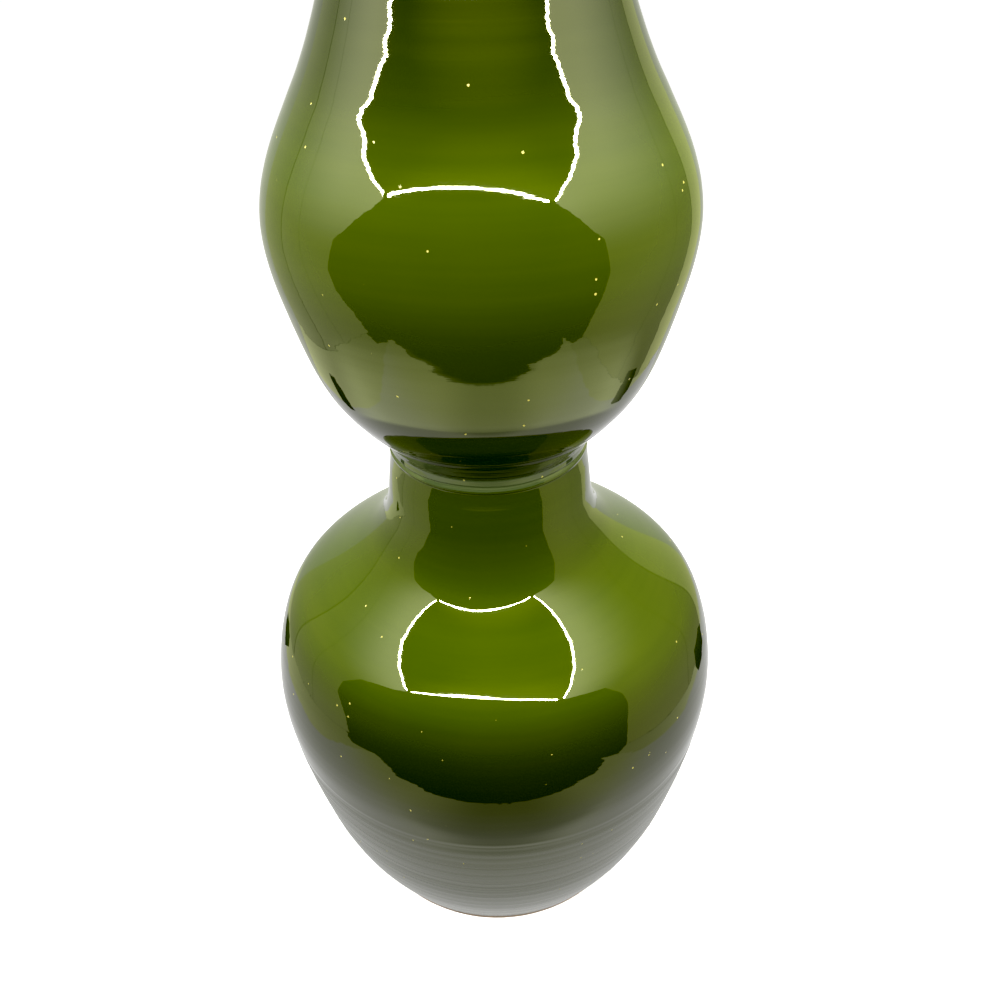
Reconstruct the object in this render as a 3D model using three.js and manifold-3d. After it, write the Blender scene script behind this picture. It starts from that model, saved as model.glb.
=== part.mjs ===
// Double-gourd stoneware vase: three thrown sections luted together with slip, a turned foot ring,
// a coat of glaze outside and a liner glaze inside. Millimetres, +Z up.
// Origin: centre of the foot ring's resting plane. The vase stands along +Z.
import * as THREE from "three";
import Module from "manifold-3d";
import { mergeVertices } from "three/addons/utils/BufferGeometryUtils.js";

// ---------------------------------------------------------------- driving dimensions
const SEGMENTS = 28; // facets round the axis; a multiple of four keeps full width along X and Y
const HEIGHT = 541; // foot plane to the top of the lip
const BELLY_R = 120.5; // widest radius of the lower bulb
const GLAZE = 0.8; // thickness of the outer glaze coat
const LINER = 0.7; // thickness of the liner glaze
const GAP = 0.3; // clearance between neighbouring solids
const WALL = 7.0; // wall of the thrown clay
const LIP_WALL = 4.4; // wall of the clay just under the lip
const FLOOR_TOP = 13.0; // inside floor of the lower bowl, in clay

const FOOT_H = 5.6; // height of the foot ring
const FOOT_IN_R = 72.5; // inner radius of the foot ring at the resting plane
const GLAZE_LINE_Z = 1.8; // the outer glaze stops here, above the resting plane

const BELLY_SEAM_Z = 116.2; // the bowl ends and the shoulder section begins
const WAIST_SEAM_Z = 280.0; // the neck ends and the upper section begins
const SLIP_T = 1.2; // thickness of the slip in each seam
const TONGUE_H = 7.0; // height of the bowl's inner tongue at the belly seam
const SPIGOT_H = 9.5; // length of the upper section's spigot inside the neck
const SPIGOT_OUT_R = 43.1;
const THROAT_R = 39.4; // clay throat at the waist
const LINER_TOP_Z = 531.5; // the liner glaze stops here, inside the mouth

// Outer surface of the glaze, from the glaze line over the belly, the neck and the upper bulb
// to the lip and a little way down inside the mouth. Each entry is [radius, height].
const SKIN = [
  [83.2, GLAZE_LINE_Z],
  [88.9, 12.3],
  [94.7, 24.6],
  [102.1, 43.1],
  [107.7, 61.6],
  [112.6, 83.1],
  [116.2, 104.6],
  [117.5, 115.4],
  [118.4, 117.6], // small step where the belly seam was closed
  [BELLY_R, 133.5],
  [119.5, 148.4],
  [116.2, 166.1],
  [112.9, 178.5],
  [108.0, 187.7],
  [99.3, 196.9],
  [77.5, 214.3],
  [63.8, 225.5],
  [55.4, 237.0],
  [51.6, 249.0],
  [49.9, 264.0],
  [48.3, 276.6],
  [48.9, 279.6], // bead at the waist seam
  [48.9, 281.0],
  [48.4, 282.4],
  [50.0, 287.8], // arris under the upper bulb
  [55.0, 295.3],
  [63.5, 304.2],
  [72.2, 316.9],
  [80.4, 335.3],
  [87.1, 359.0],
  [92.2, 388.0],
  [90.0, 410.5],
  [83.2, 427.5],
  [74.5, 443.0],
  [66.1, 461.5],
  [61.3, 480.0],
  [60.7, 497.0],
  [63.0, 520.0],
  [65.6, 535.5],
  [64.9, 539.8],
  [62.4, HEIGHT], // lip
  [59.9, 539.4],
  [59.0, 532.0],
];

// ---------------------------------------------------------------- profile helpers
// Moves an open profile sideways by t (a number or a function of height), along its own normals.
// The profile runs upwards on the outside of the vase, so a positive t moves into the wall.
function inset(points, t) {
  const dir = (a, b) => {
    const d = [b[0] - a[0], b[1] - a[1]];
    const l = Math.hypot(d[0], d[1]);
    return [d[0] / l, d[1] / l];
  };
  return points.map((p, i) => {
    const before = i > 0 ? dir(points[i - 1], p) : dir(p, points[i + 1]);
    const after = i < points.length - 1 ? dir(p, points[i + 1]) : before;
    const n = [-(before[1] + after[1]), before[0] + after[0]];
    const l = Math.hypot(n[0], n[1]);
    const u = [n[0] / l, n[1] / l];
    const cosHalf = u[0] * -before[1] + u[1] * before[0];
    const d = (typeof t === "function" ? t(p[1]) : t) / cosHalf;
    return [p[0] + u[0] * d, p[1] + u[1] * d];
  });
}
// Radius of a profile that rises steadily, at height z.
function radiusAt(points, z) {
  for (let i = 1; i < points.length; i++) {
    const [a, b] = [points[i - 1], points[i]];
    if (a[1] <= z && z <= b[1])
      return a[0] + ((b[0] - a[0]) * (z - a[1])) / (b[1] - a[1]);
  }
  throw new Error("no wall at height " + z);
}
// The part of a rising profile between two heights, ends interpolated.
function between(points, low, high) {
  return [
    [radiusAt(points, low), low],
    ...points.filter((p) => p[1] > low + 0.5 && p[1] < high - 0.5),
    [radiusAt(points, high), high],
  ];
}
// A closed ring or cup turned about the vase's axis.
function turned(profile) {
  const closed = profile[0][0] === 0 && profile[profile.length - 1][0] === 0;
  const path = profile.map(([r, z]) => new THREE.Vector2(r, z));
  if (!closed) path.push(path[0].clone());
  const g = new THREE.LatheGeometry(path, SEGMENTS);
  g.deleteAttribute("normal");
  g.deleteAttribute("uv");
  g.rotateX(Math.PI / 2); // the lathe turns about Y; the vase stands along Z
  return mergeVertices(g, 1e-4);
}

// ---------------------------------------------------------------- profiles
const TOP = SKIN.findIndex((p) => p[1] === HEIGHT);
const clay = inset(SKIN, GLAZE + GAP); // outside of the clay
const glazeBack = inset(SKIN, GLAZE); // inside of the glaze coat
const clayRise = clay.slice(0, TOP + 1);

// Inside of the clay wall, without the small details of the outside.
const thickness = (z) =>
  GLAZE + GAP + (z < 470 ? WALL : WALL - ((WALL - LIP_WALL) * (z - 470)) / 62);
const SMOOTH = SKIN.slice(0, TOP - 1).filter(
  (p) =>
    ![115.4, 117.6, 279.6, 281.0, 282.4, 276.6, 43.1, 83.1, 187.7].includes(
      p[1],
    ),
);
const wall = inset(SMOOTH, thickness);
const lowerWall = [
  [0, FLOOR_TOP],
  [58, FLOOR_TOP],
  [73, 16.5],
  ...wall.filter((p) => p[1] > 24 && p[1] < 262),
];
const neckWall = [
  ...lowerWall.filter((p) => p[1] > BELLY_SEAM_Z && p[1] < 244),
  [42.0, 252.0],
  [THROAT_R + 0.6, 266.0],
];
const upperWall = [
  [THROAT_R, 284.0],
  [40.6, 292.0],
  [47.5, 301.5],
  ...wall.filter((p) => p[1] > 309 && p[1] < 526),
];
const mouthWall = clay[clay.length - 1];

// ---------------------------------------------------------------- clay
const seamLow = BELLY_SEAM_Z - SLIP_T / 2 - GAP;
const seamHigh = BELLY_SEAM_Z + SLIP_T / 2 + GAP;
const tongueOut = 113.0; // outer radius of the tongue
const bowlInner = lowerWall.filter((p) => p[1] < BELLY_SEAM_Z);
const bellyInnerR = radiusAt(lowerWall.slice(1), BELLY_SEAM_Z);

// Lower bowl: floor, wall and the inner tongue that carries the shoulder section.
const bowlGeometry = turned([
  [0, FOOT_H + GAP],
  [radiusAt(clayRise, FOOT_H + GAP), FOOT_H + GAP],
  ...between(clayRise, FOOT_H + GAP, seamLow).slice(1),
  [tongueOut, seamLow],
  [tongueOut, seamLow + TONGUE_H],
  [bellyInnerR + 0.9, seamLow + TONGUE_H],
  [bellyInnerR, BELLY_SEAM_Z - 3],
  ...bowlInner.slice().reverse(),
]);

// Foot ring: left bare, chamfered at both lower edges.
const footTopR = radiusAt(clayRise, FOOT_H);
const footGeometry = turned([
  [FOOT_IN_R + 1.0, 0],
  [radiusAt(clayRise, GLAZE_LINE_Z + 0.9) - 1.6, 0],
  [radiusAt(clayRise, GLAZE_LINE_Z + 0.9) - 0.2, 1.3],
  [radiusAt(clayRise, GLAZE_LINE_Z + 0.9), GLAZE_LINE_Z + 0.9],
  [footTopR, FOOT_H],
  [FOOT_IN_R - 2.0, FOOT_H],
  [FOOT_IN_R, 1.0],
]);

// Slip ring in the belly seam, outside the tongue.
const slipLow = BELLY_SEAM_Z - SLIP_T / 2;
const slipHigh = BELLY_SEAM_Z + SLIP_T / 2;
const bellySlipGeometry = turned([
  [tongueOut + GAP, slipLow],
  [radiusAt(clayRise, slipLow), slipLow],
  [radiusAt(clayRise, slipHigh), slipHigh],
  [tongueOut + GAP, slipHigh],
]);

// Shoulder section: belly, shoulder and neck, rebated below over the tongue
// and counterbored above for the spigot.
const neckTop = WAIST_SEAM_Z - SLIP_T / 2 - GAP;
const shoulderGeometry = turned([
  [tongueOut + GAP, seamHigh],
  ...between(clayRise, seamHigh, neckTop),
  [SPIGOT_OUT_R + GAP, neckTop],
  [SPIGOT_OUT_R + GAP, neckTop - SPIGOT_H],
  ...neckWall.slice().reverse().filter((p) => p[1] > seamLow + TONGUE_H + 2),
  [bellyInnerR + 1.2, seamLow + TONGUE_H + GAP],
  [tongueOut + GAP, seamLow + TONGUE_H + GAP],
]);

// Slip ring in the waist seam, squeezed out into a small bead.
const waistLow = WAIST_SEAM_Z - SLIP_T / 2;
const waistHigh = WAIST_SEAM_Z + SLIP_T / 2;
const waistSlipGeometry = turned([
  [SPIGOT_OUT_R + GAP, waistLow],
  [radiusAt(clayRise, waistLow), waistLow],
  [radiusAt(clayRise, waistHigh), waistHigh],
  [SPIGOT_OUT_R + GAP, waistHigh],
]);

// Upper section: spigot, upper bulb, wide neck and rounded lip.
const seat = waistHigh + GAP;
const rise = between(clayRise, seat, clay[TOP][1]);
const upperGeometry = turned([
  [SPIGOT_OUT_R, seat],
  ...rise,
  ...clay.slice(TOP + 1),
  ...upperWall.slice().reverse(),
  [THROAT_R, neckTop - SPIGOT_H + GAP],
  [SPIGOT_OUT_R, neckTop - SPIGOT_H + GAP],
]);

// ---------------------------------------------------------------- glaze
const outerGlazeGeometry = turned([...SKIN, ...glazeBack.slice().reverse()]);

// Liner: a cup that follows the whole inside, from the floor to just under the lip.
const lined = [
  ...lowerWall.filter((p) => p[1] < 244),
  [42.0, 252.0],
  [THROAT_R, 266.0],
  ...upperWall,
  [mouthWall[0], LINER_TOP_Z],
];
const linerFace = inset(lined, GAP);
const linerInside = inset(lined, GAP + LINER);
linerFace[0] = [0, FLOOR_TOP + GAP];
linerInside[0] = [0, FLOOR_TOP + GAP + LINER];
linerFace[linerFace.length - 1][1] = LINER_TOP_Z;
linerInside[linerInside.length - 1][1] = LINER_TOP_Z;
const linerGeometry = turned([...linerFace, ...linerInside.slice().reverse()]);

// ---------------------------------------------------------------- checks with manifold-3d
const wasm = await Module();
wasm.setup();
function solid(geometry) {
  const m = new wasm.Manifold(
    new wasm.Mesh({
      numProp: 3,
      vertProperties: geometry.attributes.position.array,
      triVerts: new Uint32Array(geometry.index.array),
    }),
  );
  if (!(m.volume() > 0)) throw new Error("a turned profile runs the wrong way");
  return m;
}

// ---------------------------------------------------------------- materials and scene graph
const stoneware = { color: 0x9a8266, roughness: 0.92, metalness: 0 };
const slipClay = { color: 0x8d7459, roughness: 0.9, metalness: 0 };
const glazeGreen = { color: 0x4f6a0c, roughness: 0.06, metalness: 0 };
const linerGreen = { color: 0x45600f, roughness: 0.12, metalness: 0 };

const vase = new THREE.Group();
vase.name = "stoneware_vase";
function piece(name, geometry, look, parent) {
  solid(geometry);
  const mesh = new THREE.Mesh(geometry, new THREE.MeshStandardMaterial(look));
  mesh.name = name;
  parent.add(mesh);
  return mesh;
}

const lower = new THREE.Group();
const upper = new THREE.Group();
vase.add(lower, upper);
piece("base_bowl", bowlGeometry, stoneware, lower);
piece("foot_ring", footGeometry, stoneware, lower);
piece("belly_seam_slip", bellySlipGeometry, slipClay, lower);
piece("shoulder_section", shoulderGeometry, stoneware, lower);
piece("waist_seam_slip", waistSlipGeometry, slipClay, upper);
piece("upper_section", upperGeometry, stoneware, upper);
piece("outer_glaze", outerGlazeGeometry, glazeGreen, vase);
piece("liner_glaze", linerGeometry, linerGreen, vase);

export default vase;
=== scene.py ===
import math

import bpy
import numpy as np
from mathutils import Matrix, Vector


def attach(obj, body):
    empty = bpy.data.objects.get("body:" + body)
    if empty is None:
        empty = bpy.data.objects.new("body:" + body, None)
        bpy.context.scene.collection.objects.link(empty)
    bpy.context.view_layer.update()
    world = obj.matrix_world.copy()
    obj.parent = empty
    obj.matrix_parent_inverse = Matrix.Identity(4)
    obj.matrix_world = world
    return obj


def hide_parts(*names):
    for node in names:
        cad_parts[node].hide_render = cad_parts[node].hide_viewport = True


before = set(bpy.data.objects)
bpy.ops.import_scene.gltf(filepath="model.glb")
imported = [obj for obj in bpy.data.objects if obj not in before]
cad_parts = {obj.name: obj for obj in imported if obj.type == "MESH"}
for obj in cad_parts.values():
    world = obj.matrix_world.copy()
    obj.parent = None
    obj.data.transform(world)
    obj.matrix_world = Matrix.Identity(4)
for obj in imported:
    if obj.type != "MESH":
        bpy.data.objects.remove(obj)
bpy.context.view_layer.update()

# ------------------------------------------------------------------ dimensions, millimetres
HEIGHT = 541.0
GLAZE = 0.8
GAP = 0.3
LINER = 0.7
FOOT_H = 5.6
SEG = 224

# Radius of the finished surface against height, below and above the waist.
LOW = [(2.0, 83.47), (8.0, 86.49), (14.0, 89.54), (20.0, 92.51), (26.0, 95.32), (32.0, 97.92), (38.0, 100.3),
       (44.0, 102.45), (50.0, 104.38), (56.0, 106.12), (62.0, 107.7), (68.0, 109.16), (74.0, 110.52), (80.0, 111.83),
       (86.0, 113.08), (92.0, 114.3), (98.0, 115.46), (104.0, 116.56), (110.0, 117.56), (116.0, 118.42),
       (122.0, 119.12), (128.0, 119.62), (134.0, 119.89), (140.0, 119.88), (146.0, 119.58), (152.0, 118.97),
       (158.0, 118.05), (164.0, 116.83), (170.0, 115.33), (176.0, 113.51), (182.0, 111.14), (188.0, 107.72),
       (194.0, 102.65), (200.0, 95.91), (206.0, 88.15), (212.0, 80.08), (218.0, 72.32), (224.0, 65.48),
       (230.0, 60.0), (236.0, 56.01), (242.0, 53.38), (248.0, 51.82), (254.0, 50.91), (260.0, 50.27),
       (266.0, 49.59), (272.0, 48.78), (280.0, 48.18)]
UP = [(288.0, 49.85), (294.0, 54.43), (300.0, 59.62), (306.0, 64.68), (312.0, 69.19), (318.0, 72.97),
      (324.0, 76.03), (330.0, 78.5), (336.0, 80.56), (342.0, 82.37), (348.0, 84.06), (354.0, 85.67),
      (360.0, 87.23), (366.0, 88.69), (372.0, 90.01), (378.0, 91.1), (384.0, 91.87), (390.0, 92.24),
      (396.0, 92.14), (402.0, 91.5), (408.0, 90.3), (414.0, 88.54), (420.0, 86.29), (426.0, 83.63),
      (432.0, 80.66), (438.0, 77.52), (444.0, 74.35), (450.0, 71.10), (456.0, 68.18), (462.0, 65.52),
      (468.0, 63.06), (474.0, 60.80), (480.0, 58.66), (484.0, 57.32), (488.0, 56.24), (492.0, 55.75), (498.0, 56.02),
      (504.0, 57.05), (510.0, 58.50), (516.0, 60.05), (522.0, 61.58), (528.0, 63.05), (534.0, 64.50)]
SEAM_Z = 117.2      # small step where the belly seam was closed
BEAD_Z = 280.2      # squeezed-out bead at the waist
ARRIS_Z = 287.8     # crisp lower edge of the upper section


def spline(points):
    """A natural cubic spline through the points, as a function of an array of heights."""
    x = np.array([p[0] for p in points], float)
    y = np.array([p[1] for p in points], float)
    n = len(x)
    h = np.diff(x)
    a = np.zeros((n, n))
    b = np.zeros(n)
    a[0, 0] = a[-1, -1] = 1.0
    for i in range(1, n - 1):
        a[i, i - 1], a[i, i], a[i, i + 1] = h[i - 1], 2 * (h[i - 1] + h[i]), h[i]
        b[i] = 3 * ((y[i + 1] - y[i]) / h[i] - (y[i] - y[i - 1]) / h[i - 1])
    c = np.linalg.solve(a, b)

    def value(q):
        q = np.asarray(q, float)
        i = np.clip(np.searchsorted(x, q) - 1, 0, n - 2)
        t = q - x[i]
        bb = (y[i + 1] - y[i]) / h[i] - h[i] * (2 * c[i] + c[i + 1]) / 3
        d = (c[i + 1] - c[i]) / (3 * h[i])
        return y[i] + bb * t + c[i] * t * t + d * t ** 3
    return value


low_r, up_r = spline(LOW), spline(UP)


def gauss(z, centre, width):
    return np.exp(-((z - centre) / width) ** 2)


def step(z, low, high):
    t = np.clip((z - low) / (high - low), 0, 1)
    return t * t * (3 - 2 * t)


def base_radius(z):
    """Mean radius of the glaze at height z, details included."""
    z = np.asarray(z, float)
    r = np.where(z < 281.0, low_r(np.minimum(z, 280.0)), 0.0)
    # the collar under the upper section leans out a little, then turns sharply outwards at the arris
    collar = 48.25 + np.clip(z - 281.0, -1.0, 9.0) * 0.125 + np.clip(z - 286.6, 0.0, 2.0) * 0.42
    cone = up_r(np.maximum(z, 288.0)) + np.where(z < 288.0, (z - 288.0) * 0.70, 0.0)
    k = 0.30
    soft = np.logaddexp(collar / k, cone / k) * k  # rounded corner between collar and cone
    r = np.where(z >= 281.0, soft, r)
    # small step at the belly seam: the turned bowl sits back from the section above it
    r = r - 0.08 * (1 - step(z, SEAM_Z - 1.4, SEAM_Z + 1.4)) * step(z, 40.0, SEAM_Z)
    r = r + 0.015 * gauss(z, SEAM_Z + 1.6, 1.4)
    # fine trimmed line on the underside of the upper bulb
    r = r + 0.16 * gauss(z, 304.6, 0.55) - 0.10 * gauss(z, 303.2, 0.7)
    return r


def lattice(n, seed):
    return np.random.RandomState(seed).uniform(-1, 1, n)


def smooth_noise(x, seed, n=256):
    """Seeded one-dimensional noise, smooth, period n."""
    v = lattice(n, seed)
    i = np.floor(x).astype(int)
    t = x - i
    t = t * t * (3 - 2 * t)
    return v[i % n] * (1 - t) + v[(i + 1) % n] * t


def ring_wobble(theta, z):
    """What the hands and the wheel left in the clay, in millimetres of radius."""
    # slow swells up the wall, turning slightly round the pot
    lean = 0.6 * np.sin(theta + 0.8)
    zz = z + lean
    calm = 1 - 0.62 * step(z, 400.0, 440.0)
    w = calm * (0.070 * smooth_noise(zz / 11.0, 11) + 0.036 * smooth_noise(zz / 6.5 + 3.3, 12))
    # a little out of round, changing with height
    w = w + 0.14 * np.sin(2 * theta + 0.020 * z + 0.6) * step(z, 10, 60)
    w = w + 0.05 * np.sin(3 * theta - 0.031 * z + 2.1)
    w = w + 0.030 * np.sin(5 * theta + 0.05 * z)
    # throwing rings all over, faint
    w = w + 0.010 * smooth_noise((zz + 0.35 * np.sin(theta * 2 + 1)) / 1.9, 13, 512)
    # turning rings of the bowl, below the belly seam
    below = 1 - step(z, SEAM_Z - 3.0, SEAM_Z - 0.5)
    tool = zz + 0.25 * np.sin(theta - 0.4)
    w = w + below * (0.034 * smooth_noise(tool / 3.4, 14, 512) + 0.015 * smooth_noise(tool / 1.5 + 7.0, 15, 512))
    return w


def waist_wobble(theta, z):
    """The squeezed bead and the groove over it, which wanders round the pot and closes on one side."""
    wander = 0.45 * np.sin(theta + 2.0) + 0.30 * np.sin(3 * theta + 0.7) + 0.16 * np.sin(7 * theta + 1.9)
    bead = 0.58 * gauss(z, BEAD_Z - 0.5 + 0.25 * np.sin(2 * theta + 1.0), 0.95)
    open_ = 0.55 + 0.45 * np.sin(theta * 1.0 - 2.2) * np.sin(2 * theta + 0.3)
    groove = -0.42 * np.clip(open_, 0.12, 1.0) * gauss(z, BEAD_Z + 1.55 + wander * 0.9, 0.62)
    return bead + groove


def surface(theta, z):
    return base_radius(z) + ring_wobble(theta, z) + waist_wobble(theta, z)


# ------------------------------------------------------------------ mesh building
def add_mesh(name, verts, faces, material):
    me = bpy.data.meshes.new(name)
    me.from_pydata([tuple(v) for v in (np.asarray(verts, float) / 1000.0)], [], faces)
    me.validate()
    me.polygons.foreach_set("use_smooth", [True] * len(me.polygons))
    me.update()
    o = bpy.data.objects.new(name, me)
    bpy.context.scene.collection.objects.link(o)
    me.materials.append(material)
    return o


def turned(name, rows, material, seg=SEG, poles=(False, False)):
    """rows: a list of functions of theta or (r, z) pairs, in order round the section.
    With poles, the first or last row is a point on the axis; otherwise the section closes on itself."""
    theta = np.arange(seg) * (2 * math.pi / seg)
    verts, index = [], []
    for k, row in enumerate(rows):
        if (k == 0 and poles[0]) or (k == len(rows) - 1 and poles[1]):
            index.append([len(verts)])
            verts.append((0.0, 0.0, row[1]))
            continue
        if callable(row):
            r, z = row(theta)
        else:
            r, z = row
        r = np.broadcast_to(r, theta.shape)
        z = np.broadcast_to(z, theta.shape)
        start = len(verts)
        verts.extend(zip(r * np.cos(theta), r * np.sin(theta), z))
        index.append(list(range(start, start + seg)))
    faces = []
    pairs = list(zip(index[:-1], index[1:]))
    if not (poles[0] and poles[1]):
        pairs.append((index[-1], index[0]))
    for a, b in pairs:
        if len(a) == 1 and len(b) == 1:
            continue
        for i in range(seg):
            j = (i + 1) % seg
            if len(a) == 1:
                faces.append((a[0], b[j], b[i]))
            elif len(b) == 1:
                faces.append((a[i], a[j], b[0]))
            else:
                faces.append((a[i], a[j], b[j], b[i]))
    return add_mesh(name, verts, faces, material)


# ------------------------------------------------------------------ materials
def material(name):
    m = bpy.data.materials.new(name)
    m.use_nodes = True
    nt = m.node_tree
    nt.nodes.clear()
    out = nt.nodes.new("ShaderNodeOutputMaterial")
    bsdf = nt.nodes.new("ShaderNodeBsdfPrincipled")
    nt.links.new(bsdf.outputs["BSDF"], out.inputs["Surface"])
    return m, nt, bsdf


def coords(nt, scale=(1, 1, 1)):
    tc = nt.nodes.new("ShaderNodeTexCoord")
    mp = nt.nodes.new("ShaderNodeMapping")
    mp.inputs["Scale"].default_value = scale
    nt.links.new(tc.outputs["Object"], mp.inputs["Vector"])
    return mp.outputs["Vector"]


def noise(nt, vector, scale, detail=2.0, rough=0.5, distort=0.0):
    n = nt.nodes.new("ShaderNodeTexNoise")
    n.inputs["Scale"].default_value = scale
    n.inputs["Detail"].default_value = detail
    n.inputs["Roughness"].default_value = rough
    n.inputs["Distortion"].default_value = distort
    nt.links.new(vector, n.inputs["Vector"])
    return n.outputs["Fac"]


def ramp(nt, fac, stops, interp="LINEAR"):
    r = nt.nodes.new("ShaderNodeValToRGB")
    r.color_ramp.interpolation = interp
    e = r.color_ramp.elements
    e[0].position, e[0].color = stops[0]
    e[1].position, e[1].color = stops[-1]
    for p, c in stops[1:-1]:
        x = e.new(p)
        x.color = c
    nt.links.new(fac, r.inputs["Fac"])
    return r.outputs["Color"]


def math_node(nt, op, a, b=None, clamp=False):
    n = nt.nodes.new("ShaderNodeMath")
    n.operation = op
    n.use_clamp = clamp
    for i, v in enumerate((a, b)):
        if v is None:
            continue
        if isinstance(v, (int, float)):
            n.inputs[i].default_value = v
        else:
            nt.links.new(v, n.inputs[i])
    return n.outputs[0]


def mix_color(nt, fac, a, b, blend="MIX"):
    n = nt.nodes.new("ShaderNodeMix")
    n.data_type = "RGBA"
    n.blend_type = blend
    n.clamp_factor = True
    for s, v in ((n.inputs[0], fac), (n.inputs[6], a), (n.inputs[7], b)):
        if isinstance(v, (int, float)):
            s.default_value = v
        elif isinstance(v, tuple):
            s.default_value = v
        else:
            nt.links.new(v, s)
    return n.outputs[2]


def grey(v):
    return (v, v, v, 1.0)


def bump(nt, height, distance, strength=1.0, normal=None):
    b = nt.nodes.new("ShaderNodeBump")
    b.inputs["Distance"].default_value = distance
    b.inputs["Strength"].default_value = strength
    nt.links.new(height, b.inputs["Height"])
    if normal is not None:
        nt.links.new(normal, b.inputs["Normal"])
    return b.outputs["Normal"]


def height_z(nt):
    tc = nt.nodes.new("ShaderNodeTexCoord")
    s = nt.nodes.new("ShaderNodeSeparateXYZ")
    nt.links.new(tc.outputs["Object"], s.inputs[0])
    return s.outputs["Z"]


def map_range(nt, v, lo, hi, to_lo=0.0, to_hi=1.0, smooth=True):
    n = nt.nodes.new("ShaderNodeMapRange")
    n.interpolation_type = "SMOOTHSTEP" if smooth else "LINEAR"
    n.inputs["From Min"].default_value = lo
    n.inputs["From Max"].default_value = hi
    n.inputs["To Min"].default_value = to_lo
    n.inputs["To Max"].default_value = to_hi
    nt.links.new(v, n.inputs["Value"])
    return n.outputs["Result"]


# How light the coat is at each height (its green), in millimetres. Partly the coat's own tone, as it ran thin on the
# shoulders and lips and lies thick and dark on the undersides, round the neck and down the belly; partly painted shade
# and painted light, darker or lighter by height where the lamps here give too much or too little light.
COAT_TONE_AND_SHADE = [(0, 0.030), (6, 0.022), (60, 0.017), (112, 0.0150), (143, 0.0126), (153, 0.0126), (162, 0.0148), (172, 0.0188), (180, 0.0275),
        (186, 0.0335), (192, 0.0475), (200, 0.0560), (215, 0.0600), (225, 0.0520), (236, 0.0385), (260, 0.0340),
        (279, 0.0310), (289, 0.0125), (312, 0.0105), (330, 0.0200), (363, 0.0242), (378, 0.0283), (391, 0.0375),
        (404, 0.0390), (413, 0.0410), (422, 0.0475), (432, 0.0440), (441, 0.0370), (455, 0.0235), (482, 0.0160), (515, 0.0240), (541, 0.0400)]


def glaze_material():
    m, nt, b = material("olive_glaze")
    z = height_z(nt)
    # the coat's depth: slow clouds, faint horizontal brushing from the wheel, fine grain
    clouds = noise(nt, coords(nt, (1, 1, 0.6)), 9.0, 3.0, 0.5)
    bands = noise(nt, coords(nt, (6, 6, 160)), 1.0, 3.0, 0.6)
    depth = math_node(nt, "ADD", math_node(nt, "MULTIPLY", clouds, 0.65), math_node(nt, "MULTIPLY", bands, 0.35))
    stops = COAT_TONE_AND_SHADE[:1] + COAT_TONE_AND_SHADE[2:] if len(COAT_TONE_AND_SHADE) > 32 else COAT_TONE_AND_SHADE
    # the coat's tone by height: partly its own, partly painted shade and painted light
    coat = ramp(nt, map_range(nt, z, 0.0, 0.541, smooth=False), [(h / 541.0, (g * 0.65, g, g * 0.028, 1.0)) for h, g in stops])
    tone = ramp(nt, depth, [(0.34, (0.80, 0.86, 0.8, 1)), (0.52, (1.0, 1.0, 1.0, 1)), (0.70, (1.22, 1.13, 1.2, 1))])
    colour = mix_color(nt, 1.0, coat, tone, "MULTIPLY")
    # it broke paler over the collar at the waist
    collar = math_node(nt, "MULTIPLY", map_range(nt, z, 0.2797, 0.2804), map_range(nt, z, 0.2876, 0.2866))
    colour = mix_color(nt, math_node(nt, "MULTIPLY", collar, 0.5), colour, (0.066, 0.090, 0.038, 1.0))
    # it thins to brown-gold on the lip
    lip = map_range(nt, z, 0.5375, 0.5405)
    colour = mix_color(nt, math_node(nt, "MULTIPLY", lip, 0.55), colour, (0.085, 0.062, 0.012, 1.0))
    # near the foot the coat is a little thinner over the clay
    foot = map_range(nt, z, 0.0075, 0.0022)
    colour = mix_color(nt, math_node(nt, "MULTIPLY", foot, 0.5), colour, (0.050, 0.050, 0.008, 1.0))
    # sparse gold-brown specks where gas left the melt
    v = nt.nodes.new("ShaderNodeTexVoronoi")
    v.feature = "F1"
    v.inputs["Scale"].default_value = 118.0
    nt.links.new(coords(nt), v.inputs["Vector"])
    spot = map_range(nt, v.outputs["Distance"], 0.074, 0.044)
    pick = nt.nodes.new("ShaderNodeSeparateColor")
    nt.links.new(v.outputs["Color"], pick.inputs[0])
    chosen = math_node(nt, "GREATER_THAN", pick.outputs[0], 0.60)
    speck = math_node(nt, "MULTIPLY", spot, chosen)
    colour = mix_color(nt, math_node(nt, "MULTIPLY", speck, 0.85), colour, (0.46, 0.40, 0.085, 1.0))
    nt.links.new(colour, b.inputs["Base Color"])
    # mirror-like above the seam, softer over the turned bowl
    turned_zone = map_range(nt, z, 0.1215, 0.1105)
    streak = noise(nt, coords(nt, (3, 3, 420)), 1.0, 3.0, 0.65)
    soft = math_node(nt, "MULTIPLY", turned_zone, math_node(nt, "ADD", math_node(nt, "MULTIPLY", streak, 0.20), 0.13))
    rough = math_node(nt, "ADD", soft, 0.022)
    rough = math_node(nt, "ADD", rough, math_node(nt, "MULTIPLY", speck, 0.25))
    nt.links.new(rough, b.inputs["Roughness"])
    b.inputs["IOR"].default_value = 1.53
    b.inputs["Specular Tint"].default_value = (1.0, 1.0, 0.55, 1.0)
    # relief: very fine rings, an almost flat orange peel, pits at the specks
    rings = noise(nt, coords(nt, (2.2, 2.2, 330)), 1.0, 2.0, 0.55)
    peel = noise(nt, coords(nt, (1, 1, 1)), 260.0, 1.0, 0.4)
    n1 = bump(nt, rings, 0.0000150)
    n2 = bump(nt, peel, 0.0000035, 1.0, n1)
    tool = math_node(nt, "MULTIPLY", noise(nt, coords(nt, (3, 3, 520)), 1.0, 3.0, 0.6), turned_zone)
    n3 = bump(nt, tool, 0.000030, 1.0, n2)
    n4 = bump(nt, math_node(nt, "MULTIPLY", speck, -1.0), 0.00006, 1.0, n3)
    nt.links.new(n4, b.inputs["Normal"])
    return m


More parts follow.
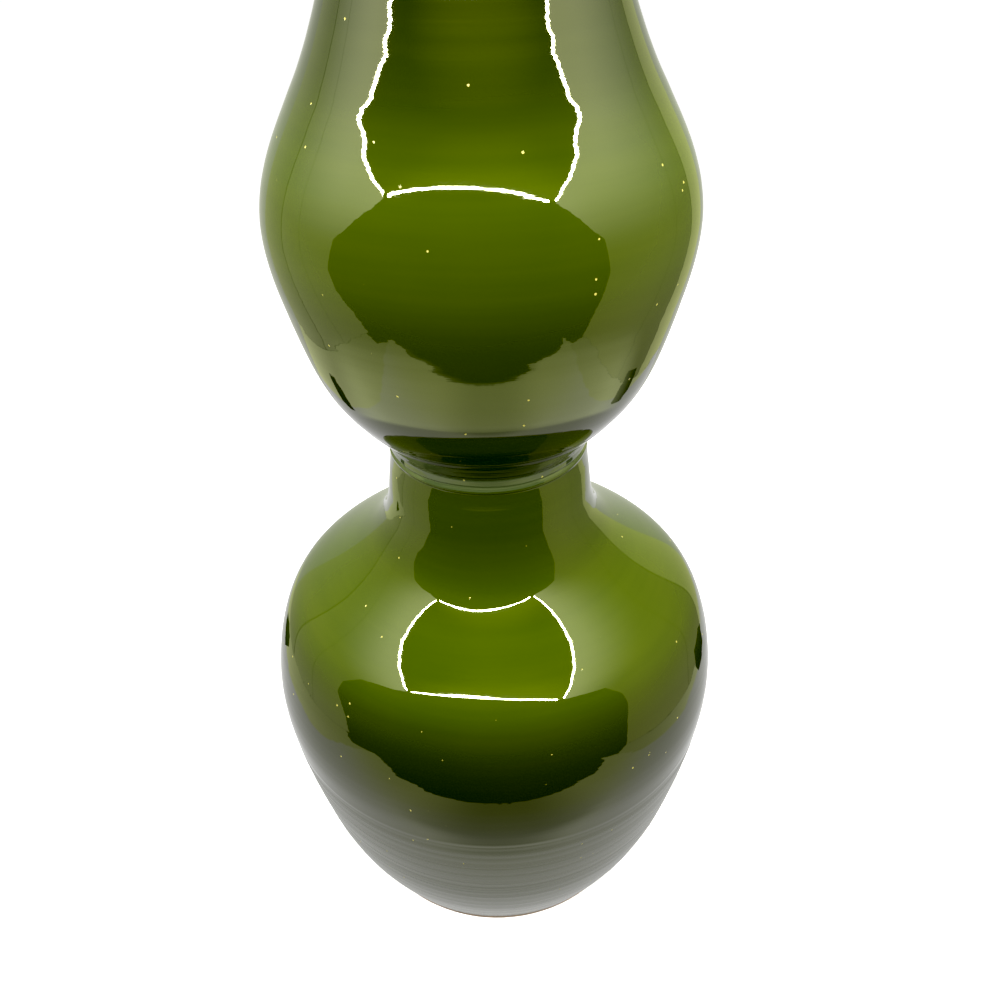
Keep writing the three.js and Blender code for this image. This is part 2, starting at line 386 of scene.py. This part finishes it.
def liner_material():
    m, nt, b = material("liner_glaze_green")
    clouds = noise(nt, coords(nt, (1, 1, 0.8)), 14.0, 3.0, 0.5)
    bands = noise(nt, coords(nt, (5, 5, 130)), 1.0, 2.0, 0.6)
    depth = math_node(nt, "ADD", math_node(nt, "MULTIPLY", clouds, 0.5), math_node(nt, "MULTIPLY", bands, 0.5))
    colour = ramp(nt, depth, [(0.35, (0.020, 0.032, 0.001, 1)), (0.55, (0.030, 0.044, 0.002, 1)), (0.75, (0.050, 0.060, 0.006, 1))])
    nt.links.new(colour, b.inputs["Base Color"])
    b.inputs["Roughness"].default_value = 0.11
    b.inputs["IOR"].default_value = 1.52
    b.inputs["Specular Tint"].default_value = (1.0, 1.0, 0.6, 1.0)
    rings = noise(nt, coords(nt, (3, 3, 190)), 1.0, 2.0, 0.5)
    nt.links.new(bump(nt, rings, 0.00012), b.inputs["Normal"])
    return m


def clay_material(name, light, dark, rough):
    m, nt, b = material(name)
    c = coords(nt)
    cloud = noise(nt, c, 28.0, 3.0, 0.55)
    grain = noise(nt, c, 900.0, 3.0, 0.7)
    base = ramp(nt, cloud, [(0.35, dark), (0.65, light)])
    # grog and iron specks
    v = nt.nodes.new("ShaderNodeTexVoronoi")
    v.feature = "F1"
    v.inputs["Scale"].default_value = 420.0
    nt.links.new(c, v.inputs["Vector"])
    pick = nt.nodes.new("ShaderNodeSeparateColor")
    nt.links.new(v.outputs["Color"], pick.inputs[0])
    iron = math_node(nt, "MULTIPLY", map_range(nt, v.outputs["Distance"], 0.26, 0.12), math_node(nt, "GREATER_THAN", pick.outputs[0], 0.82))
    grog = math_node(nt, "MULTIPLY", map_range(nt, v.outputs["Distance"], 0.34, 0.2), math_node(nt, "LESS_THAN", pick.outputs[0], 0.12))
    base = mix_color(nt, math_node(nt, "MULTIPLY", iron, 0.7), base, (0.07, 0.040, 0.022, 1))
    base = mix_color(nt, math_node(nt, "MULTIPLY", grog, 0.5), base, (0.62, 0.53, 0.42, 1))
    base = mix_color(nt, 0.25, base, ramp(nt, grain, [(0.3, grey(0.12)), (0.7, grey(0.55))]), "SOFT_LIGHT")
    nt.links.new(base, b.inputs["Base Color"])
    r = math_node(nt, "ADD", math_node(nt, "MULTIPLY", grain, 0.12), rough - 0.06)
    nt.links.new(r, b.inputs["Roughness"])
    rings = noise(nt, coords(nt, (40, 40, 600)), 1.0, 2.0, 0.6)
    n1 = bump(nt, grain, 0.00012)
    n2 = bump(nt, rings, 0.00008, 1.0, n1)
    n3 = bump(nt, grog, 0.00012, 1.0, n2)
    nt.links.new(n3, b.inputs["Normal"])
    return m


GLAZE_M = glaze_material()
LINER_M = liner_material()
CLAY_M = clay_material("raw_stoneware", (0.40, 0.30, 0.20, 1), (0.29, 0.205, 0.13, 1), 0.90)
FOOT_M = clay_material("foot_stoneware", (0.37, 0.27, 0.18, 1), (0.25, 0.175, 0.11, 1), 0.82)
SLIP_M = clay_material("fired_slip", (0.31, 0.22, 0.14, 1), (0.22, 0.15, 0.095, 1), 0.86)

# ------------------------------------------------------------------ the pieces
def skin_row(z, back=0.0):
    """One row of the outer surface at height z, or of a surface lying back behind it."""
    e = 0.4
    slope = (base_radius(z + e) - base_radius(z - e)) / (2 * e)
    slope = float(np.clip(slope, -1.6, 1.6))
    c = 1.0 / math.sqrt(1 + slope * slope)

    def row(theta):
        r = surface(theta, np.full_like(theta, z))
        return r - back * c, np.full_like(theta, z + back * slope * c)
    return row


def lip_row(angle, back=0.0):
    """The rounded lip: angle 0 is outside, 90 degrees the top, 180 inside."""
    a = math.radians(angle)
    rx, rz = 3.15 - back, 3.9 - back

    def row(theta):
        mid = 61.75 + 0.5 * (surface(theta, np.full_like(theta, 530.0)) - base_radius(530.0))
        lift = 0.10 * np.sin(2 * theta + 0.4) + 0.06 * np.sin(5 * theta)
        return mid + rx * math.cos(a), 536.9 + rz * math.sin(a) + lift
    return row


def heights(low, high, fine):
    n = max(1, int(round((high - low) / fine)))
    return [low + (high - low) * i / n for i in range(n)]


zs = (heights(3.2, 112, 0.80) + heights(112, 121, 0.45) + heights(121, 277, 1.1) + heights(277, 290, 0.20)
      + heights(290, 301, 0.8) + heights(301, 307, 0.25) + heights(307, 533.0, 1.3))
zs_back = heights(3.0, 276, 6.0) + heights(276, 291, 1.5) + heights(291, 533.0, 6.0)


def glaze_edge(theta):
    """Height of the coat's lower edge, which wavers a little above the foot."""
    return 1.95 + 0.28 * np.sin(2 * theta + 0.5) + 0.20 * np.sin(5 * theta + 1.2) + 0.12 * np.sin(11 * theta)


def edge_row(dr, dz):
    def row(theta):
        z = glaze_edge(theta) + dz
        return surface(theta, np.full_like(theta, 3.2)) - (3.2 - z) * 0.5 + dr, z
    return row


def outer_rows():
    rows = [edge_row(-0.45, 0.0), edge_row(-0.14, 0.10), edge_row(0.0, 0.42)]
    rows += [skin_row(z) for z in zs]
    rows += [lip_row(a) for a in (0, 12, 24, 36, 48, 60, 72, 84, 96, 108, 120, 132, 144, 156, 168, 180)]
    rows += [lambda t: (lip_row(180)(t)[0] - 0.05, 534.6 + 0 * t), lambda t: (lip_row(180)(t)[0] - 0.25, 532.4 + 0 * t),
             lambda t: (lip_row(180)(t)[0] - 0.10, 532.15 + 0 * t), lambda t: (lip_row(180)(t)[0] + 0.42, 532.15 + 0 * t)]
    rows += [lip_row(a, GLAZE) for a in (180, 150, 120, 90, 60, 30, 0)]
    rows += [skin_row(z, GLAZE) for z in reversed(zs_back)]
    return rows


outer = turned("glaze_coat", outer_rows(), GLAZE_M)

# Inside of the clay, as built: [radius, height], millimetres.
INSIDE = [(0.0, 13.0), (30.0, 13.0), (58.0, 13.3), (70.0, 15.4), (78.0, 19.6), (84.5, 26.5), (89.6, 35.0), (93.6, 44.0), (97.4, 55.0),
          (101.3, 70.0), (104.7, 86.0), (107.8, 104.0), (109.6, 118.0), (111.2, 134.0), (110.9, 148.0), (108.3, 163.5),
          (105.6, 174.0), (101.0, 184.0), (94.0, 192.0), (84.0, 200.5), (72.5, 209.0), (60.5, 219.0), (51.5, 229.0),
          (46.2, 238.5), (43.3, 248.0), (41.2, 258.0), (40.0, 267.0), (39.5, 276.0), (39.6, 285.0), (41.4, 293.0), (47.0, 300.8),
          (54.5, 308.0), (63.5, 319.0), (71.2, 335.0), (75.4, 347.0), (78.9, 360.0), (82.3, 374.0), (84.0, 388.0), (83.3, 401.0), (80.6, 413.0),
          (75.2, 425.0), (68.0, 437.5), (60.3, 452.0), (55.0, 466.0), (52.2, 480.0), (51.4, 496.0), (54.2, 512.0), (57.9, 526.0), (58.8, 531.6)]


def smooth_path(points, per=6):
    """Catmull-Rom through the points, so that the inside has no corners."""
    p = [np.array(q, float) for q in points]
    out = []
    for i in range(len(p) - 1):
        a = p[i - 1] if i else p[i] * 2 - p[i + 1]
        b, c = p[i], p[i + 1]
        d = p[i + 2] if i + 2 < len(p) else c * 2 - b
        for k in range(per):
            t = k / per
            out.append(0.5 * ((2 * b) + (c - a) * t + (2 * a - 5 * b + 4 * c - d) * t * t + (3 * b - a - 3 * c + d) * t ** 3))
    out.append(p[-1])
    return out


def shifted(path, d):
    """The path moved by d towards the axis side of its own direction."""
    out = []
    for i, q in enumerate(path):
        a, b = path[max(i - 1, 0)], path[min(i + 1, len(path) - 1)]
        t = (b - a) / np.linalg.norm(b - a)
        out.append(q + d * np.array([-t[1], t[0]]))
    out[0][0] = 0.0
    return out


inside = smooth_path(INSIDE)


def inside_row(q, amount=1.0):
    def row(theta):
        rings = 0.16 * math.sin(q[1] * 2 * math.pi / 9.0) * amount * float(step(q[0], 20, 50))
        w = rings + 0.22 * amount * smooth_noise(np.full_like(theta, q[1] / 7.0), 21)
        w = w + 0.12 * np.sin(2 * theta + 0.02 * q[1] + 0.6) * float(step(q[0], 5, 40))
        return q[0] + w, np.full_like(theta, q[1])
    return row


face = shifted(inside, GAP)
inner = shifted(inside, GAP + LINER)
liner_rows = [(0.0, face[0][1])] + [inside_row(q) for q in face[1:]] + [inside_row(q) for q in reversed(inner[1:])] + [(0.0, inner[0][1])]
liner = turned("liner_coat", liner_rows, LINER_M, seg=144, poles=(True, True))

# Clay behind the two coats, cut at its seams.
SEAM_LOW, SEAM_HIGH = 115.3, 117.1
NECK_TOP, SEAT = 279.1, 280.9
TONGUE = 113.0


def clay_out(z):
    return float(base_radius(z)) - (GLAZE + GAP) / math.cos(math.atan(float((base_radius(z + 1) - base_radius(z - 1)) / 2)))


def inside_part(low, high):
    return [(float(q[0]), float(q[1])) for q in inside if low < q[1] < high]


def clay(name, rows, mat, poles=(False, False)):
    return turned(name, rows, mat, seg=120, poles=poles)


floor_ring = [(r, 5.9 + 0.10 * math.sin(r * 1.7)) for r in np.arange(4.0, 68.0, 1.6)]
bowl = clay("base_bowl_clay",
            [(0.0, 5.9)] + floor_ring + [(69.5, 5.9), (71.0, 5.9), (83.6, 5.9), (84.1, 6.3)]
            + [(clay_out(z), z) for z in heights(7.5, SEAM_LOW - 0.4, 4.0)] + [(clay_out(SEAM_LOW), SEAM_LOW - 0.3), (clay_out(SEAM_LOW) - 0.3, SEAM_LOW)]
            + [(TONGUE + 0.3, SEAM_LOW), (TONGUE, SEAM_LOW + 0.3), (TONGUE, SEAM_LOW + 6.7), (TONGUE - 0.3, SEAM_LOW + 7.0), (110.9, SEAM_LOW + 7.0), (110.4, SEAM_LOW + 6.6)]
            + list(reversed([p for p in inside_part(13.0, SEAM_LOW + 1) if p[0] > 5])) + [(0.0, 13.0)], CLAY_M, poles=(True, True))
shoulder = clay("shoulder_clay",
                [(TONGUE + 0.3, SEAM_HIGH), (clay_out(SEAM_HIGH + 1) - 0.5, SEAM_HIGH)]
                + [(clay_out(z), z) for z in heights(SEAM_HIGH + 1, NECK_TOP - 1, 4.0)]
                + [(47.0, NECK_TOP - 0.3), (46.7, NECK_TOP), (43.7, NECK_TOP), (43.4, NECK_TOP - 0.3), (43.4, 269.6)]
                + list(reversed(inside_part(127.0, 267.5))) + [(110.9, 123.4), (111.3, 122.6), (TONGUE + 0.3, 122.6)], CLAY_M)
upper = clay("upper_section_clay",
             [(43.1, SEAT), (47.2, SEAT), (47.4, SEAT + 0.4), (47.5, 283.5)]
             + [(clay_out(z), z) for z in heights(286.5, 531.0, 4.0)]
             + [(float(lip_row(a, GLAZE + GAP)(np.zeros(1))[0][0]), float(lip_row(a, GLAZE + GAP)(np.zeros(1))[1][0]) - 0.05) for a in range(0, 181, 15)]
             + list(reversed(inside_part(277.0, 531.0))) + [(39.6, 270.2), (39.9, 269.9), (42.8, 269.9), (43.1, 270.2)], CLAY_M)
belly_slip = clay("belly_slip", [(TONGUE + 0.4, 115.6), (clay_out(115.6) - 0.2, 115.6), (clay_out(116.2) + 0.12, 116.2), (clay_out(116.8) - 0.2, 116.8), (TONGUE + 0.4, 116.8)], SLIP_M)
waist_slip = clay("waist_slip", [(43.4, 279.4), (46.9, 279.4), (47.35, 279.7), (47.45, 280.05), (47.35, 280.4), (46.9, 280.6), (43.4, 280.6)], SLIP_M)


def foot_rows():
    edge = lambda r, z, k=1.0: (lambda t: (r + k * (0.10 * np.sin(2 * t + 0.3) + 0.06 * np.sin(7 * t)), np.full_like(t, z)))
    pts = [(73.4, 0.12), (74.1, 0.0), (75.6, 0.0), (77.2, 0.0), (79.2, 0.0), (81.3, 0.0), (82.5, 0.06), (83.05, 0.28), (83.2, 0.7), (83.1, 1.2),
           (82.75, 1.9), (82.75, 3.0), (83.35, 4.3), (83.75, 5.2), (83.6, 5.55), (82.9, 5.6), (72.0, 5.6), (71.2, 5.45), (70.9, 5.0), (71.3, 4.0), (71.9, 2.7), (72.4, 1.5), (72.8, 0.6)]
    return [edge(r, z, 1.0 if z < 5.3 else 0.2) for r, z in pts]


foot = turned("foot_ring_clay", foot_rows(), FOOT_M, seg=200)

for piece, node, slot in ((outer, "outer_glaze", "outer_glaze"), (liner, "liner_glaze", "liner_glaze"),
                          (bowl, "base_bowl", "stoneware"), (shoulder, "shoulder_section", "stoneware"),
                          (upper, "upper_section", "stoneware"), (belly_slip, "belly_seam_slip", "slip"),
                          (waist_slip, "waist_seam_slip", "slip"), (foot, "foot_ring", "bare_foot")):
    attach(piece, "root")
    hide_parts(node)

# ------------------------------------------------------------------ stage: floor, backdrop and a soft light tent
def emission(name, colour, strength):
    m = bpy.data.materials.new(name)
    m.use_nodes = True
    nt = m.node_tree
    nt.nodes.clear()
    out = nt.nodes.new("ShaderNodeOutputMaterial")
    e = nt.nodes.new("ShaderNodeEmission")
    e.inputs["Color"].default_value = colour
    e.inputs["Strength"].default_value = strength
    nt.links.new(e.outputs[0], out.inputs["Surface"])
    return m, nt, e


def plate(name, corners, mat, only_reflections=True):
    me = bpy.data.meshes.new(name)
    me.from_pydata([tuple(c / 1000.0 for c in v) for v in corners], [], [tuple(range(len(corners)))])
    me.update()
    o = bpy.data.objects.new(name, me)
    bpy.context.scene.collection.objects.link(o)
    me.materials.append(mat)
    if only_reflections:
        o.visible_camera = False
        o.visible_shadow = False
    return o


def gradient(nt, e, axis, low, high, s_low, s_high):
    """Emission that changes along an axis of the stage, in metres."""
    tc = nt.nodes.new("ShaderNodeTexCoord")
    s = nt.nodes.new("ShaderNodeSeparateXYZ")
    nt.links.new(tc.outputs["Object"], s.inputs[0])
    nt.links.new(map_range(nt, s.outputs[axis], low, high, s_low, s_high), e.inputs["Strength"])


# floor: pale, matt; the camera sees it, and the reflections see the tent's lit floor just under it
floor_m = bpy.data.materials.new("pale_floor")
floor_m.use_nodes = True
fb = floor_m.node_tree.nodes["Principled BSDF"]
fb.inputs["Base Color"].default_value = (0.86, 0.86, 0.855, 1)
fb.inputs["Roughness"].default_value = 0.9
fb.inputs["Specular IOR Level"].default_value = 0.1
fb.inputs["Emission Color"].default_value = (1, 1, 1, 1)
ft = floor_m.node_tree
vl = ft.nodes.new("ShaderNodeVectorMath")
vl.operation = "LENGTH"
tcf = ft.nodes.new("ShaderNodeTexCoord")
ft.links.new(tcf.outputs["Object"], vl.inputs[0])
ft.links.new(map_range(ft, vl.outputs["Value"], 0.30, 0.9, 0.62, 1.0), fb.inputs["Emission Strength"])
floor = plate("floor", [(-4000, -4000, 0), (4000, -4000, 0), (4000, 4000, 0), (-4000, 4000, 0)], floor_m, only_reflections=False)
floor.visible_diffuse = floor.visible_glossy = False

# backdrop: plain white all round, seen by the camera only
back_m, _, _ = emission("white_backdrop", (1, 1, 1, 1), 1.1)
bpy.ops.mesh.primitive_uv_sphere_add(segments=48, ring_count=24, radius=6.0)
dome = bpy.context.active_object
dome.name = "backdrop"
dome.data.materials.append(back_m)
dome.visible_diffuse = dome.visible_glossy = dome.visible_transmission = dome.visible_shadow = dome.visible_volume_scatter = False

LEFT, RIGHT, BACK, TOPZ = -456.0, 367.0, 420.0, 671.0


def wall(name, side, front, fold, shade, tint):
    """A side of the tent: its front edge as (y, z) points, and its light: bright under the bars, duller
    further back, with a seam where the cloth turns."""
    m, nt, e = emission(name, (1, 1, 1, 1), 1.0)
    tc = nt.nodes.new("ShaderNodeTexCoord")
    sep = nt.nodes.new("ShaderNodeSeparateXYZ")
    nt.links.new(tc.outputs["Object"], sep.inputs[0])
    y, z = sep.outputs["Y"], sep.outputs["Z"]
    body = map_range(nt, y, -0.20, fold - 0.004, shade[0], shade[1])
    beyond = map_range(nt, y, fold - 0.001, fold + 0.001, 0.0, 1.0)
    body = math_node(nt, "ADD", math_node(nt, "MULTIPLY", body, math_node(nt, "SUBTRACT", 1.0, beyond)), math_node(nt, "MULTIPLY", beyond, shade[2]))
    glow = math_node(nt, "MULTIPLY", map_range(nt, z, 0.36, 0.67, 0.0, 3.2), map_range(nt, y, -0.16, 0.20, 1.0, 0.10))
    low = map_range(nt, z, 0.0, 0.26, 0.97, 1.0)
    body = math_node(nt, "MULTIPLY", body, low)
    total = math_node(nt, "ADD", body, glow)
    nt.links.new(mix_color(nt, math_node(nt, "DIVIDE", glow, total), tint, (1.0, 1.0, 1.15, 1.0)), e.inputs["Color"])
    seam = math_node(nt, "ABSOLUTE", math_node(nt, "SUBTRACT", y, fold))
    total = math_node(nt, "MULTIPLY", total, map_range(nt, seam, 0.002, 0.005, 0.35, 1.0))
    crease = math_node(nt, "ABSOLUTE", math_node(nt, "SUBTRACT", y, math_node(nt, "ADD", fold - 0.17, math_node(nt, "MULTIPLY", z, 0.10))))
    total = math_node(nt, "MULTIPLY", total, map_range(nt, crease, 0.001, 0.004, 0.72, 1.0))
    nt.links.new(total, e.inputs["Strength"])
    pts = [(side, py, pz) for py, pz in front] + [(side, BACK, 0), (side, BACK, TOPZ)]
    return plate(name, pts, m)


wall("tent_left", LEFT, [(-386, TOPZ), (-318, 585), (-235, 500), (-165, 420), (-132, 300), (-140, 200), (-185, 100), (-215, 0)], 0.150, (1.05, 0.80, 0.68), (1.0, 1.04, 0.62, 1.0))
wall("tent_right", RIGHT, [(-490, TOPZ), (-405, 585), (-330, 510), (-258, 430), (-235, 300), (-240, 200), (-255, 100), (-265, 0)], 0.195, (1.08, 0.42, 0.95), (1.0, 1.05, 0.50, 1.0))
back2_m, nt, e = emission("tent_back", (1, 1.02, 0.9, 1), 0.75)
plate("tent_back", [(LEFT, BACK, 0), (RIGHT, BACK, 0), (RIGHT, BACK, TOPZ), (LEFT, BACK, TOPZ)], back2_m)
# the tent's floor, lit, up to the curved front edge of the sheet
sheet_m, nt, e = emission("tent_floor", (1, 1, 1, 1), 1.0)
tcs = nt.nodes.new("ShaderNodeTexCoord")
sps = nt.nodes.new("ShaderNodeSeparateXYZ")
nt.links.new(tcs.outputs["Object"], sps.inputs[0])
fx, fy = sps.outputs["X"], sps.outputs["Y"]
open_floor = math_node(nt, "ADD", 0.96, map_range(nt, fy, -0.02, -0.20, 0.0, 0.20))
# painted shadow on the lit floor: a soft duller patch down the middle, in front of the vase
across = map_range(nt, math_node(nt, "ABSOLUTE", math_node(nt, "SUBTRACT", fx, 0.01)), 0.03, 0.19, 1.0, 0.0)
painted_shadow = math_node(nt, "MULTIPLY", math_node(nt, "MULTIPLY", across, map_range(nt, fy, -0.148, -0.184)), 0.60)
open_floor = math_node(nt, "SUBTRACT", open_floor, painted_shadow)
# the side cloths run in over the floor
edge_l = math_node(nt, "ADD", -0.312, math_node(nt, "MULTIPLY", math_node(nt, "MINIMUM", math_node(nt, "ADD", fy, 0.06), 0.0), 0.25))
edge_r = math_node(nt, "ADD", 0.303, math_node(nt, "MULTIPLY", math_node(nt, "MAXIMUM", math_node(nt, "ADD", fy, 0.026), 0.0), 0.18))
over = math_node(nt, "MAXIMUM", map_range(nt, math_node(nt, "SUBTRACT", edge_l, fx), -0.001, 0.001), map_range(nt, math_node(nt, "SUBTRACT", fx, edge_r), -0.001, 0.001))
total = math_node(nt, "ADD", math_node(nt, "MULTIPLY", open_floor, math_node(nt, "SUBTRACT", 1.0, over)), math_node(nt, "MULTIPLY", over, 1.0))
nt.links.new(total, e.inputs["Strength"])
warm = mix_color(nt, map_range(nt, fy, -0.10, -0.28), (1, 1, 1, 1), (1.0, 1.05, 0.62, 1))
nt.links.new(mix_color(nt, over, warm, (1.0, 1.05, 0.60, 1)), e.inputs["Color"])
edge = [(LEFT, -198), (-420, -203), (-388, -203), (-378, -236), (-362, -290), (-340, -286), (-321, -288), (-290, -283), (-262, -281), (-232, -284), (-200, -294),
        (-161, -299), (-110, -306), (-60, -308), (20, -309), (90, -311), (150, -308), (190, -300), (225, -292), (262, -292), (284, -300), (300, -334), (307, -300), (312, -264), (RIGHT, -262)]
rough = []
for k in range(len(edge) - 1):
    (xa, ya), (xb, yb) = edge[k], edge[k + 1]
    n = max(1, int(math.hypot(xb - xa, yb - ya) / 9))
    for i in range(n):
        j = 2.0 * float(lattice(400, 31)[(k * 17 + i) % 400]) if (k, i) != (0, 0) else 0.0
        rough.append((xa + (xb - xa) * i / n, ya + (yb - ya) * i / n + j, -1))
rough.append((RIGHT, -262, -1))
plate("tent_floor", rough + [(RIGHT, BACK, -1), (LEFT, BACK, -1)], sheet_m)
# a thin lit card in front of the shoulder, seen from above only: it lights the underside of the upper bulb
card_m, nt, e = emission("reflector_card", (0.97, 1.06, 0.62, 1), 1.0)
tcc = nt.nodes.new("ShaderNodeTexCoord")
spc = nt.nodes.new("ShaderNodeSeparateXYZ")
nt.links.new(tcc.outputs["Object"], spc.inputs[0])
geo = nt.nodes.new("ShaderNodeNewGeometry")
cx_, cy_ = spc.outputs["X"], spc.outputs["Y"]
rad = math_node(nt, "SQRT", math_node(nt, "ADD", math_node(nt, "MULTIPLY", cx_, cx_), math_node(nt, "MULTIPLY", cy_, cy_)))
fade = math_node(nt, "MULTIPLY", map_range(nt, rad, 0.101, 0.110), map_range(nt, rad, 0.208, 0.140))
fade = math_node(nt, "MULTIPLY", fade, map_range(nt, cy_, 0.005, -0.055))
fade = math_node(nt, "MULTIPLY", fade, map_range(nt, cy_, -0.157, -0.149))
fade = math_node(nt, "MULTIPLY", fade, math_node(nt, "SUBTRACT", 1.0, geo.outputs["Backfacing"]))
nt.links.new(math_node(nt, "MULTIPLY", fade, 1.05), e.inputs["Strength"])
clear = nt.nodes.new("ShaderNodeBsdfTransparent")
both = nt.nodes.new("ShaderNodeAddShader")
nt.links.new(clear.outputs[0], both.inputs[0])
nt.links.new(e.outputs[0], both.inputs[1])
nt.links.new(both.outputs[0], [n for n in nt.nodes if n.type == "OUTPUT_MATERIAL"][0].inputs["Surface"])
for k in range(12):
    a0, a1 = math.radians(-190 + 200 * k / 12), math.radians(-190 + 200 * (k + 1) / 12)
    o = plate("reflector_card_%d" % k, [(94 * math.cos(a0), 94 * math.sin(a0), 250), (210 * math.cos(a0), 210 * math.sin(a0), 250), (210 * math.cos(a1), 210 * math.sin(a1), 250), (94 * math.cos(a1), 94 * math.sin(a1), 250)], card_m)
    o.visible_diffuse = False
# the roof glows a little just behind the front bar
roof_m, nt, e = emission("tent_roof", (0.8, 1.0, 0.2, 1), 1.0)
gradient(nt, e, "Y", -0.46, -0.31, 1.25, 0.0)
plate("tent_roof", [(-446, -386, 680), (356, -490, 680), (358, 250, 680), (-446, 250, 680)], roof_m)
# two dark feet of the tent frame
dark_m, nt, e = emission("dark_feet", (0, 0, 0, 1), 0.0)
for k, (cx, cy, wx, wy, hz) in enumerate(((-322, 182, 34, 20, 34), (326, 112, 26, 32, 40))):
    plate("foot_front_%d" % k, [(cx - wx, cy - wy, 0), (cx + wx, cy - wy, 0), (cx + wx, cy - wy, hz), (cx - wx, cy - wy, hz)], dark_m)
    plate("foot_side_%d" % k, [(cx - wx * (1 if cx > 0 else -1), cy - wy, 0), (cx - wx * (1 if cx > 0 else -1), cy + wy, 0), (cx - wx * (1 if cx > 0 else -1), cy + wy, hz), (cx - wx * (1 if cx > 0 else -1), cy - wy, hz)], dark_m)
    plate("foot_top_%d" % k, [(cx - wx, cy - wy, hz), (cx + wx, cy - wy, hz), (cx + wx, cy + wy, hz), (cx - wx, cy + wy, hz)], dark_m)

# light bars along the top of the tent
def bar(name, a, b, width, watts, colour=(1, 1, 1)):
    a, b = Vector(a) / 1000, Vector(b) / 1000
    d = (b - a)
    light = bpy.data.lights.new(name, "AREA")
    light.shape = "RECTANGLE"
    light.size = d.length
    light.size_y = width / 1000
    light.energy = watts
    light.color = colour
    o = bpy.data.objects.new(name, light)
    bpy.context.scene.collection.objects.link(o)
    x = d.normalized()
    aim = (Vector((0, 0, 0.22)) - (a + b) / 2).normalized()
    zax = (-aim + x * x.dot(aim)).normalized()
    yax = zax.cross(x)
    o.matrix_world = Matrix(((x.x, yax.x, zax.x, (a.x + b.x) / 2), (x.y, yax.y, zax.y, (a.y + b.y) / 2), (x.z, yax.z, zax.z, (a.z + b.z) / 2), (0, 0, 0, 1)))
    o.visible_camera = False
    return o


bar("bar_front", (-432, -388, 672), (322, -486, 672), 8, 6.6)
bar("bar_left", (-452, -372, 672), (-452, 250, 672), 9, 4.4)
bar("bar_right", (358, -478, 672), (364, 250, 672), 9, 4.4)
bar("bar_back", (-405, 300, 672), (350, 300, 672), 9, 3.0)

world = bpy.data.worlds.new("dim_room")
world.use_nodes = True
world.node_tree.nodes["Background"].inputs["Color"].default_value = (1, 1, 1, 1)
world.node_tree.nodes["Background"].inputs["Strength"].default_value = 0.02
bpy.context.scene.world = world

# ------------------------------------------------------------------ camera
PITCH, YAW, ROLL, DIST, CENTRE_Z = math.radians(35.5), math.radians(-0.687), math.radians(-1.3), 0.5127, 0.241
fwd = Vector((-math.sin(YAW) * math.cos(PITCH), math.cos(YAW) * math.cos(PITCH), -math.sin(PITCH)))
right = Vector((math.cos(YAW), math.sin(YAW), 0))
upv = Vector((-math.sin(YAW) * math.sin(PITCH), math.cos(YAW) * math.sin(PITCH), math.cos(PITCH)))
right2 = math.cos(ROLL) * right + math.sin(ROLL) * upv
up2 = -math.sin(ROLL) * right + math.cos(ROLL) * upv
cam_data = bpy.data.cameras.new("camera")
cam_data.sensor_width = 36.0
cam_data.lens = 36.0
cam_data.clip_start = 0.01
cam_data.clip_end = 50.0
cam = bpy.data.objects.new("camera", cam_data)
bpy.context.scene.collection.objects.link(cam)
pos = Vector((0.0, -DIST * math.cos(PITCH), CENTRE_Z + DIST * math.sin(PITCH)))
cam.matrix_world = Matrix(((right2.x, up2.x, -fwd.x, pos.x), (right2.y, up2.y, -fwd.y, pos.y), (right2.z, up2.z, -fwd.z, pos.z), (0, 0, 0, 1)))
bpy.context.scene.camera = cam

scene = bpy.context.scene
scene.view_settings.view_transform = "Standard"
scene.view_settings.look = "None"
scene.view_settings.exposure = 0.0
scene.view_settings.gamma = 1.0
scene.view_settings.use_curve_mapping = True
scene.view_settings.curve_mapping.black_level = (0.010, 0.010, 0.010)
scene.view_settings.curve_mapping.update()

bpy.context.view_layer.update()
